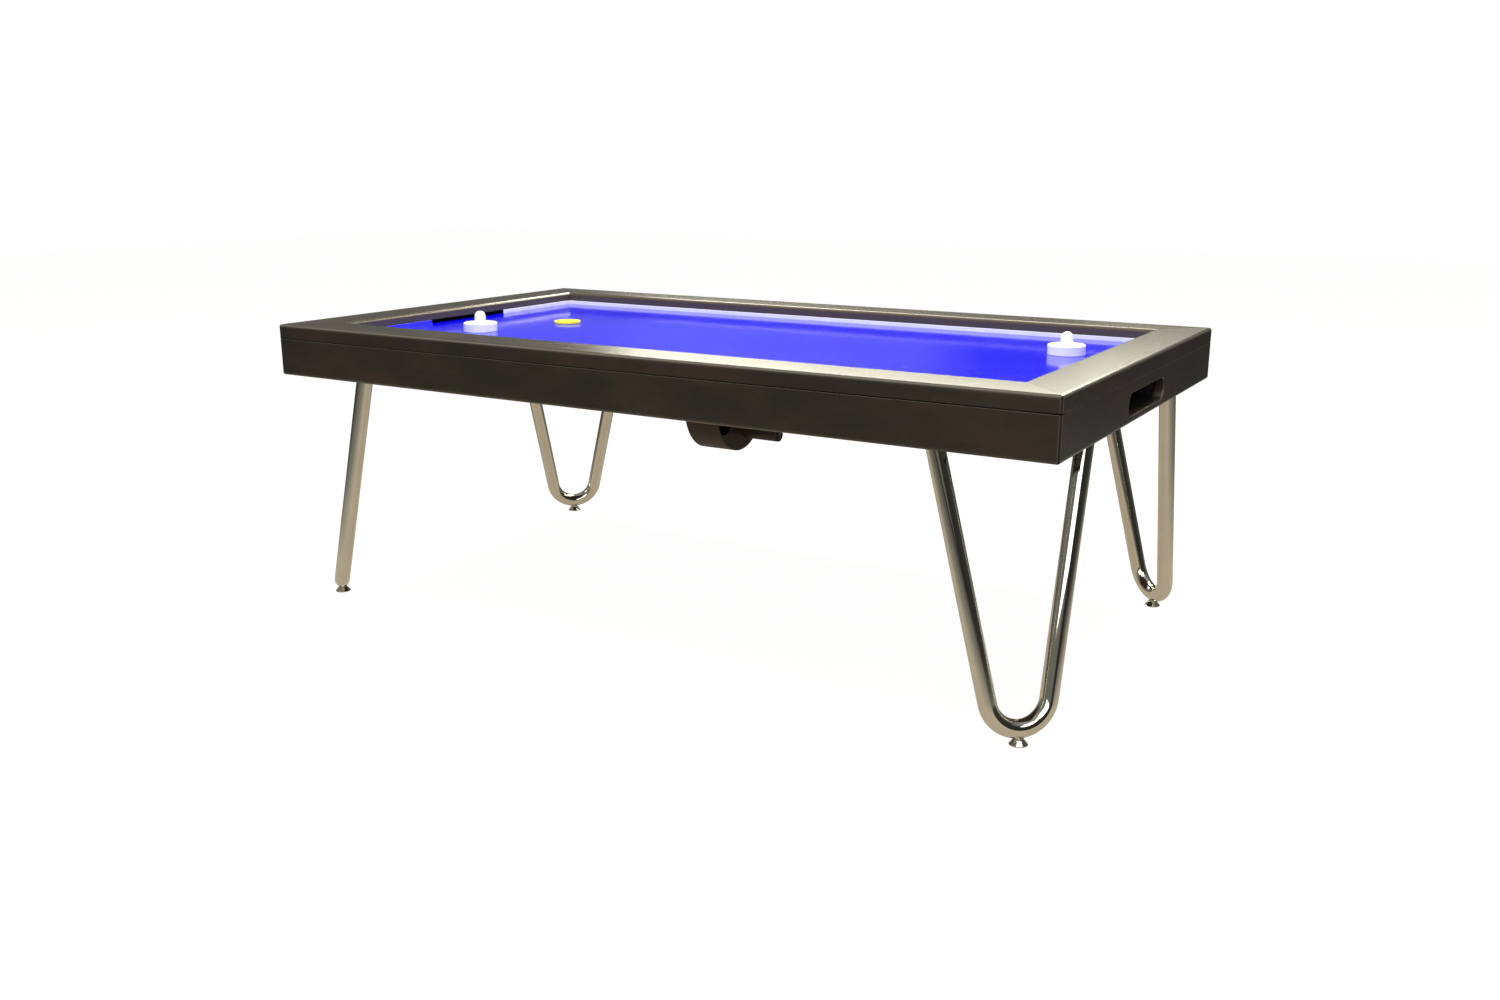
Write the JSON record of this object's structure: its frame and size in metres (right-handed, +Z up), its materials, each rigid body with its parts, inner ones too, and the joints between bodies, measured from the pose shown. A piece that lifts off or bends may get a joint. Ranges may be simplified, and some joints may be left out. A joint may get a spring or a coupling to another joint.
{
  "type": "air hockey table",
  "caption": "Seven-foot air hockey table: rimmed playfield over an air box with an under-slung blower, goals at both ends, mallets and puck, on bent-tube hairpin legs.",
  "frame": {"origin": "on the floor, under the middle of the table", "axes": "+X along the table to its right end, +Y to its back, +Z up"},
  "size_m": [2.134, 1.2, 0.7663],
  "materials": {
    "stained_wood": "dark espresso stain under satin lacquer",
    "black_plastic": "fine matt",
    "white_plastic": "gloss",
    "blue_laminate": "high gloss laminate",
    "plywood": "birch plywood, stained dark",
    "pine": "planed pine, stained dark",
    "zinc_steel": "zinc plated",
    "black_steel": "black powder coat",
    "bright_nickel": "bright nickel plate",
    "plain_steel": "machined",
    "blower_plastic": "satin moulded",
    "grey_plastic": "moulded",
    "motor_paint": "semi-gloss paint",
    "capacitor_can": "drawn can",
    "mallet_white": "polished moulding",
    "felt": "felt",
    "puck_yellow": "polished moulding"
  },
  "bodies": {
    "table": {"air_box_back_side": "plywood", "air_box_floor": "plywood", "air_box_front_side": "plywood", "air_box_left_end": "plywood", "air_box_ribs": "plywood", "air_box_right_end": "plywood", "back_apron": "stained_wood", "back_left_leg": "bright_nickel", "back_puck_rail": "white_plastic", "back_rail": "stained_wood", "back_right_leg": "bright_nickel", "bearer_brackets": "zinc_steel", "blower_cover": "blower_plastic", "blower_housing": "blower_plastic", "control_box": "blower_plastic", "control_panel": "black_plastic", "corner_blocks": "pine", "cross_bearers": "pine", "front_apron": "stained_wood", "front_left_leg": "bright_nickel", "front_puck_rail": "white_plastic", "front_rail": "stained_wood", "front_right_leg": "bright_nickel", "inlet_pins": "zinc_steel", "inlet_ring": "grey_plastic", "jam_nuts": "bright_nickel", "left_apron": "stained_wood", "left_goal_liner": "black_plastic", "left_puck_rails": "white_plastic", "left_puck_tray": "black_plastic", "left_rail": "stained_wood", "leg_bolts": "black_steel", "leg_bushes": "plain_steel", "leg_plates": "black_steel", "mains_inlet": "black_plastic", "motor_bearings": "plain_steel", "motor_case": "motor_paint", "motor_stator": "plain_steel", "pan_screws": "zinc_steel", "playfield": "blue_laminate", "right_apron": "stained_wood", "right_goal_liner": "black_plastic", "right_puck_rails": "white_plastic", "right_puck_tray": "black_plastic", "right_rail": "stained_wood", "run_capacitor": "capacitor_can", "switch_housing": "black_plastic"},
    "blower_rotor": {"blower_wheel": "grey_plastic", "blower_shaft": "plain_steel", "motor_rotor": "plain_steel"},
    "rocker": {"power_rocker": "black_plastic"},
    "front_left_glide": {"front_left_foot": "bright_nickel"},
    "front_right_glide": {"front_right_foot": "bright_nickel"},
    "back_left_glide": {"back_left_foot": "bright_nickel"},
    "back_right_glide": {"back_right_foot": "bright_nickel"},
    "left_striker": {"left_mallet": "mallet_white", "left_mallet_felt": "felt"},
    "right_striker": {"right_mallet": "mallet_white", "right_mallet_felt": "felt"},
    "puck_disc": {"puck": "puck_yellow"}
  },
  "joints": [
    {"name": "blower_spin", "type": "hinge", "parent": "table", "child": "blower_rotor", "pos_m": [-0.05, 0, 0.533], "axis": [1, 0, 0], "continuous": true},
    {"name": "power_switch", "type": "hinge", "parent": "table", "child": "rocker", "pos_m": [0.097, 0.0345, 0.46], "axis": [0, -1, 0], "range_deg": [0, 16]},
    {"name": "front_left_foot_screw", "type": "slide", "parent": "table", "child": "front_left_glide", "axis": [0, 0, -1], "range_m": [0, 0.012]},
    {"name": "front_right_foot_screw", "type": "slide", "parent": "table", "child": "front_right_glide", "axis": [0, 0, -1], "range_m": [0, 0.012]},
    {"name": "back_left_foot_screw", "type": "slide", "parent": "table", "child": "back_left_glide", "axis": [0, 0, -1], "range_m": [0, 0.012]},
    {"name": "back_right_foot_screw", "type": "slide", "parent": "table", "child": "back_right_glide", "axis": [0, 0, -1], "range_m": [0, 0.012]},
    {"name": "left_mallet_glide", "type": "slide", "parent": "table", "child": "left_striker", "axis": [1, 0, 0], "range_m": [-0.185, 0.665]},
    {"name": "right_mallet_glide", "type": "slide", "parent": "table", "child": "right_striker", "axis": [1, 0, 0], "range_m": [-0.77, 0.08]},
    {"name": "puck_glide", "type": "slide", "parent": "table", "child": "puck_disc", "axis": [1, 0, 0], "range_m": [-0.346, 1.592]}
  ]
}
